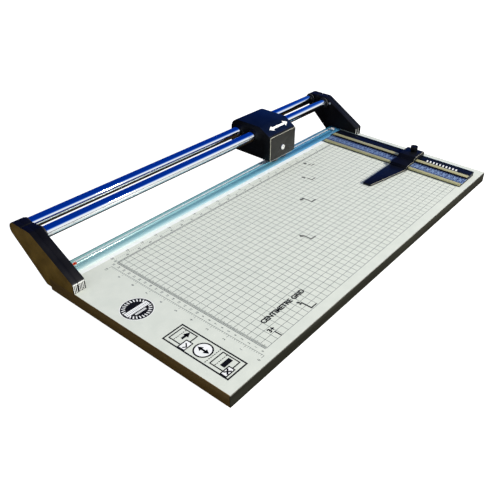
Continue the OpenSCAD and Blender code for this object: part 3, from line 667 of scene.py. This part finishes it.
def boardPanel():
    line, sides = panel["line"], panel["sides"]
    parts = hollow(*panel["border"], panel["borderLine"], 1)
    for corners in panel["sheets"]:
        parts += hollow(*corners, line, 1)
    for corners in (panel["paper"], panel["offcutPaper"]):
        parts += hollow(*corners, line, panel["paperLineCoats"])
    for *corners, step, count in panel["dashes"]:
        parts.append(rowOf(inkBar(*corners), (step, 0, 0), count))
    parts.append(inkBar(*panel["offcut"]))
    for x, y, length, wide, turn, coats in panel["strokes"]:
        parts.append(stroke(x, y, bedTop, length, wide, inkCoat * coats, turn))
    parts.append(disc(*panel["ringAt"], bedTop, panel["ring"], inkCoat, sides))
    for x, y, length, wide, head, coats, turn, bothEnds in panel["arrows"]:
        parts += arrow(x, y, bedTop, length, wide, head, inkCoat * coats, turn, bothEnds)
    coats, holeCoats = panel["paperCoats"], panel["holeCoats"]
    whites = {
        "panelPaper": inkBar(*panel["paper"], coats),
        "panelRing": disc(*panel["ringAt"], bedTop, panel["hole"], inkCoat * holeCoats, sides),
        "panelOffcut": inkBar(*panel["offcutPaper"], coats)}
    for name, white in whites.items():
        joined(name, [white], whiteInk, "base")
    joined("printedPanel", parts, blackInk, "base")


boardPanel()

# the pale band beside the clamp strip, and a row of white marks 2 mm apart on the strip
strip = {"band": (-311.5, 249.0, 92.6, 101.5), "bandCoats": 0.5, "markX": (-302.0, -300.9),
         "markY": (114.8, 117.6), "top": 26.4, "step": 2.0, "count": 302}
joined("printedBand", [inkBar(*strip["band"], strip["bandCoats"])], whiteInk, "base")
stripMark = block((strip["markX"][0], strip["markY"][0], strip["top"]),
                  (strip["markX"][1], strip["markY"][1], strip["top"] + inkCoat))
joined("stripMarks", [rowOf(stripMark, (strip["step"], 0, 0), strip["count"])], whiteInk, "strip")
print("board printed")


# scale and marks on the side guide

# ticks along both edges of the scale, every millimetre and longer every fifth, and numbers between
scale = {"x": (255.3, 276.5), "top": 26.0, "start": -174.5, "count": 269, "tick": 0.55, "edge": 0.4,
         "short": 4.6, "long": 7.5, "longEvery": 5, "numbers": 27, "numberEvery": 10,
         "numberSize": 7.5, "weight": 0.3}


def guideMarks():
    (x0, x1), z, start, count = scale["x"], scale["top"], scale["start"], scale["count"]
    edge, tick, parts = scale["edge"], scale["tick"], []
    # reach, half of the thickness, and spacing of the short and the long ticks
    kinds = ((scale["short"], tick / 2, 1), (scale["long"], tick, scale["longEvery"]))
    for reach, half, step in kinds:
        for low, high in ((x0 + edge, x0 + reach), (x1 - reach, x1 - edge)):
            mark = block((low, start - half, z), (high, start + half, z + inkCoat))
            parts.append(rowOf(mark, (0, step, 0), count // step))
    for k in range(scale["numbers"]):
        parts.append(written(str(scale["numbers"] - k), scale["numberSize"], (x0 + x1) / 2,
                             start + scale["numberEvery"] * k, z, inkCoat, scale["weight"]))
    joined("scaleMarks", parts, blueInk, "base")


guideMarks()

# plain slanted dashes near the user's end of the channel
channel = {"at": (291.4, -150.0, 28.5), "length": 7.2, "width": 2.6, "turn": 14, "step": 6.0,
           "count": 10}
dash = stroke(*channel["at"], channel["length"], channel["width"], inkCoat, channel["turn"])
joined("channelDashes", [rowOf(dash, (0, channel["step"], 0), channel["count"])], whiteInk, "base")
print("side guide marked")


# bright ends of the frame noses

# front face, lower and upper edge, inset of the dark ground and how far it is sunk and let in; ribs
# with their inset, foot, head and spacing; the lip above them
nose = {"front": 66.0, "low": 22.4, "high": 35.6, "inset": 0.5, "deep": 0.5, "sunk": 0.2,
        "letIn": 0.3, "ribInset": 0.8, "rib": 0.85, "step": 2.1, "margin": 1.2, "ribFoot": 0.6,
        "ribHead": 2.2, "lip": 1.9, "lipLetIn": 0.1}
# bright steel bars on the right nose's front corners as painted edge highlights: their left edges,
# width, and places from front to back and from bottom to top
noseHighlight = {"x": (312.8, 321.0), "width": 1.3, "y": (65.6, 66.1), "z": (22.6, 34.8)}


def noseEnd(name, x0, x1):
    # a thin fluted plate on the front of a nose: dark in its flutes, bright on its ribs
    z0, z1, front, inset = nose["low"], nose["high"], nose["front"], nose["inset"]
    proud, ribX = front - nose["deep"], x0 + nose["ribInset"]
    ground = block((x0 + inset, front - nose["sunk"], z0), (x1 - inset, front + nose["letIn"], z1))
    joined(name + "Ground", [ground], blackEnamel, "base")
    count = int((x1 - x0 - nose["margin"]) / nose["step"])
    rib = block((ribX, proud, z0 + nose["ribFoot"]),
                (ribX + nose["rib"], front, z1 - nose["ribHead"]))
    lip = block((x0 + inset, proud, z1 - nose["lip"]), (x1 - inset, front + nose["lipLetIn"], z1))
    joined(name, [rowOf(rib, (nose["step"], 0, 0), count), lip], polishedSteel, "base")


noseEnd("leftNoseInner", -322.5, -312.5)
noseEnd("leftNoseOuter", -330.3, -322.6)
(y0, y1), (z0, z1) = noseHighlight["y"], noseHighlight["z"]
highlightBars = [block((x, y0, z0), (x + noseHighlight["width"], y1, z1)) for x in noseHighlight["x"]]
joined("rightNoseHighlight", highlightBars, polishedSteel, "base")
print("nose ends made")


# mark on the head

headMark = {"at": (130.0, 113.4, 84.85), "length": 46, "width": 4.2, "head": 9.5, "high": 0.05,
            "slope": 29.2}


def slopeArrow():
    # a double arrow, drawn flat and then laid on the head's slope
    parts = arrow(0, 0, 0, headMark["length"], headMark["width"], headMark["head"],
                  headMark["high"], 0, True)
    piece = joined("slopeArrow", parts, whiteInk, "head")
    piece.rotation_euler = (radians(headMark["slope"]), 0, 0)
    piece.location = [place * mm for place in headMark["at"]]
    pick(piece)
    applied()


slopeArrow()
print("head marked")


# floor, light and camera

sweep = {"radius": 6, "sides": 96, "matt": "#a8a8a8", "glow": "#ffffff", "mirrored": "#33291d"}
# tilt in degrees; the soft light on matt surfaces; what gloss mirrors, from the horizon upwards
sky = {"tilt": 30, "soft": "#d3dffa", "softStrength": 0.42,
       "mirrored": [(0.0, "#ffffff"), (0.05, "#ffffff"), (0.14, "#a9bdea"), (0.25, "#5c8ad6"),
                    (0.36, "#1450b4"), (0.47, "#003098"), (1.0, "#002e90")]}
# places and sizes in metres
lights = {
    "key": {"at": (1.14, -3.45, 2.1), "size": 0.38, "watts": 240, "colour": (1.0, 0.96, 0.88)},
    "fill": {"at": (-2.2, -0.6, 1.0), "size": 1.6, "watts": 5, "colour": (1.0, 0.92, 0.78)}}


def paleFloor():
    bpy.ops.object.select_all(action="DESELECT")
    bpy.ops.mesh.primitive_circle_add(vertices=sweep["sides"], radius=sweep["radius"],
                                      fill_type="NGON", location=(0, 0, 0))
    floor = bpy.context.object
    floor.name = "paleFloor"
    # matt white sweep; what gloss mirrors of it is a dull brown table
    finish = bpy.data.materials.new("paleSweep")
    finish.use_nodes = True
    tree = finish.node_tree
    tree.nodes.clear()
    matt = add(tree, "BsdfDiffuse", {"Color": linear(sweep["matt"])})
    glow = add(tree, "Emission", {"Color": linear(sweep["glow"]), "Strength": 1.0})
    bright = add(tree, "AddShader", links={0: (matt, 0), 1: (glow, 0)})
    table = add(tree, "Emission", {"Color": linear(sweep["mirrored"]), "Strength": 1.0})
    path = add(tree, "LightPath")
    dull = add(tree, "MixShader", links={0: (path, "Is Glossy Ray"), 1: (matt, 0), 2: (table, 0)})
    chosen = add(tree, "MixShader",
                 links={0: (path, "Is Camera Ray"), 1: (dull, 0), 2: (bright, 0)})
    add(tree, "OutputMaterial", links={"Surface": (chosen, 0)})
    floor.data.materials.append(finish)


def openSky():
    world = bpy.data.worlds.new("openSky")
    bpy.context.scene.world = world
    world.use_nodes = True
    tree = world.node_tree
    tree.nodes.clear()
    coords = add(tree, "TexCoord")
    tilted = add(tree, "Mapping", {"Rotation": (radians(sky["tilt"]), 0, 0)},
                 {"Vector": (coords, "Generated")})
    parts = add(tree, "SeparateXYZ", links={0: (tilted, 0)})
    stops = [(at, linear(colour)) for at, colour in sky["mirrored"]]
    ramp = add(tree, "ValToRGB", {"stops": stops}, {"Fac": (parts, "Z")})
    mirrored = add(tree, "Background", {"Strength": 1.0}, {"Color": (ramp, "Color")})
    soft = add(tree, "Background", {"Color": linear(sky["soft"]), "Strength": sky["softStrength"]})
    plain = add(tree, "Background", {"Color": (1, 1, 1, 1), "Strength": 1.0})
    path = add(tree, "LightPath")
    lit = add(tree, "MixShader", links={0: (path, "Is Glossy Ray"), 1: (soft, 0), 2: (mirrored, 0)})
    seen = add(tree, "MixShader", links={0: (path, "Is Camera Ray"), 1: (lit, 0), 2: (plain, 0)})
    add(tree, "OutputWorld", links={"Surface": (seen, 0)})


paleFloor()
openSky()
for name, light in lights.items():
    bpy.ops.object.light_add(type="AREA", location=light["at"])
    lamp = bpy.context.object
    lamp.name = name
    lamp.data.shape = "DISK"
    lamp.data.size = light["size"]
    lamp.data.energy = light["watts"]
    lamp.data.color = light["colour"]
    lamp.rotation_mode = "QUATERNION"
    lamp.rotation_quaternion = lamp.location.to_track_quat("Z", "Y")

view = {"at": (-0.63666, -0.46697, 0.48192), "turn": (55.8735, -1.9207, -52.0272), "lens": 43.12,
        "sensor": 36, "shift": (-0.0558, -0.001), "nearest": 0.01}
bpy.ops.object.camera_add(location=view["at"], rotation=[radians(angle) for angle in view["turn"]])
camera = bpy.context.object
camera.data.lens = view["lens"]
camera.data.sensor_width = view["sensor"]
camera.data.shift_x, camera.data.shift_y = view["shift"]
camera.data.clip_start = view["nearest"]
bpy.context.scene.camera = camera
bpy.context.scene.view_settings.view_transform = "Standard"
print("studio set")
